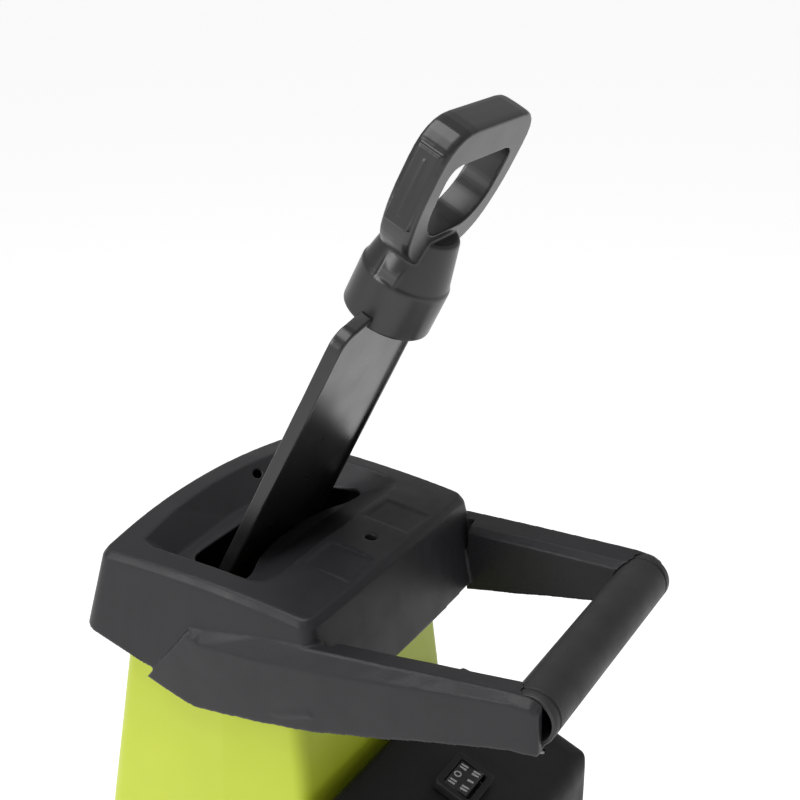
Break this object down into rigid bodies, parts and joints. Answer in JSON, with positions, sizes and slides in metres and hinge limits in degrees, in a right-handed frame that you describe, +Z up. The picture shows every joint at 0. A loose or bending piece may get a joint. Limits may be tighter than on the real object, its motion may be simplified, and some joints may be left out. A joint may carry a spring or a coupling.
{
  "type": "wood chipper",
  "caption": "Electric garden wood chipper: branches go down a tall hopper with a plunger to a knife disc; tilting hopper, motor housing, tube stand on two wheels.",
  "frame": {"origin": "ground level, in the middle of the bounding box's base", "axes": "+Z up, -Y towards the discharge side (front), +Y towards the motor, wheels and transport handle, +X to the right seen from the rear"},
  "size_m": [0.426, 0.521, 1.385],
  "materials": {
    "charcoal": "fine-grained moulded charcoal plastic with brighter worn moulding edges",
    "black": "matt black moulded plastic",
    "green": "satin lime green moulded plastic",
    "gloss_black": "smooth satin black plastic",
    "tube": "black powder coat on steel tube",
    "steel": "machined steel",
    "blade": "ground and hardened steel",
    "zinc": "bright zinc plate",
    "rubber": "black rubber",
    "tyre": "hard rubber tyre",
    "copper": "brass and copper parts",
    "lamination": "laminated electrical steel with enamelled coils",
    "red": "red button plastic",
    "grey": "mid grey technical plastic"
  },
  "bodies": {
    "base": {"stand_front_frame": "tube", "stand_leg_right": "tube", "stand_leg_left": "tube", "cross_brace": "tube", "side_brace_right": "tube", "side_brace_left": "tube", "foot_pad_right": "rubber", "foot_pad_left": "rubber", "axle": "zinc", "axle_cap_right": "black", "axle_cap_left": "black", "base_housing": "black", "base_cover": "black", "discharge_chute": "black", "hinge_pin_right": "zinc", "hinge_pin_left": "zinc", "spindle_bearing_upper": "steel", "spindle_bearing_lower": "steel", "motor_stator": "lamination", "motor_end_lower": "zinc", "motor_bearing_lower": "steel", "motor_end_upper": "zinc", "motor_bearing_upper": "steel", "brush_holder_right": "copper", "brush_holder_left": "copper", "drive_belt": "rubber", "motor_housing": "black", "housing_screw_1": "zinc", "housing_screw_2": "zinc", "switch_frame": "black", "switch_body": "grey", "power_inlet": "grey", "interlock_switch": "grey"},
    "wheel_right": {"wheel_hub_right": "black", "tyre_right": "tyre"},
    "wheel_left": {"wheel_hub_left": "black", "tyre_left": "tyre"},
    "cutter": {"spindle": "steel", "cutting_disc": "steel", "blade_1": "blade", "blade_2": "blade", "blade_screw_1": "zinc", "blade_screw_2": "zinc", "blade_screw_3": "zinc", "blade_screw_4": "zinc", "disc_nut": "zinc", "driven_pulley": "steel"},
    "rotor": {"armature": "lamination", "motor_fan": "black", "motor_pulley": "steel"},
    "hopper": {"hopper_tower": "green", "hopper_cap": "charcoal", "handle_bar": "charcoal", "cap_screw": "zinc"},
    "knob": {"clamp_knob": "black", "clamp_stud": "zinc"},
    "plunger": {"plunger_paddle": "gloss_black", "plunger_handle": "gloss_black"},
    "rocker": {"switch_rocker": "black"},
    "reset": {"reset_button": "red"}
  },
  "joints": [
    {"name": "wheel_right_spin", "type": "hinge", "parent": "base", "child": "wheel_right", "pos_m": [0.188, 0.1855, 0.075], "axis": [1, 0, 0], "continuous": true},
    {"name": "wheel_left_spin", "type": "hinge", "parent": "base", "child": "wheel_left", "pos_m": [-0.188, 0.1855, 0.075], "axis": [1, 0, 0], "continuous": true},
    {"name": "cutter_spin", "type": "hinge", "parent": "base", "child": "cutter", "pos_m": [0, -0.0625, 0.52], "axis": [0, 0, 1], "continuous": true},
    {"name": "rotor_spin", "type": "hinge", "parent": "base", "child": "rotor", "pos_m": [0, 0.1115, 0.6], "axis": [0, 0, 1], "continuous": true},
    {"name": "hopper_tilt", "type": "hinge", "parent": "base", "child": "hopper", "pos_m": [0, -0.1925, 0.564], "axis": [1, 0, 0], "range_deg": [0, 80]},
    {"name": "clamp_knob_turn", "type": "hinge", "parent": "hopper", "child": "knob", "pos_m": [0.14, -0.0145, 0.576], "axis": [1, 0, 0], "range_deg": [0, 360]},
    {"name": "plunger_slide", "type": "slide", "parent": "hopper", "child": "plunger", "axis": [0, 0.4566, 0.8897], "range_m": [0, 0.19]},
    {"name": "rocker_tilt", "type": "hinge", "parent": "base", "child": "rocker", "pos_m": [0, 0.1155, 0.8568], "axis": [1, 0, 0], "range_deg": [-16, 0]},
    {"name": "reset_press", "type": "slide", "parent": "base", "child": "reset", "axis": [0, -0.3928, -0.9196], "range_m": [0, 0.003], "stiffness_N_per_m": 300, "springref_m": -0.002}
  ],
  "couplings": [
    {"joint": "rotor_spin", "follows": "cutter_spin", "ratio": 3.6364}
  ]
}
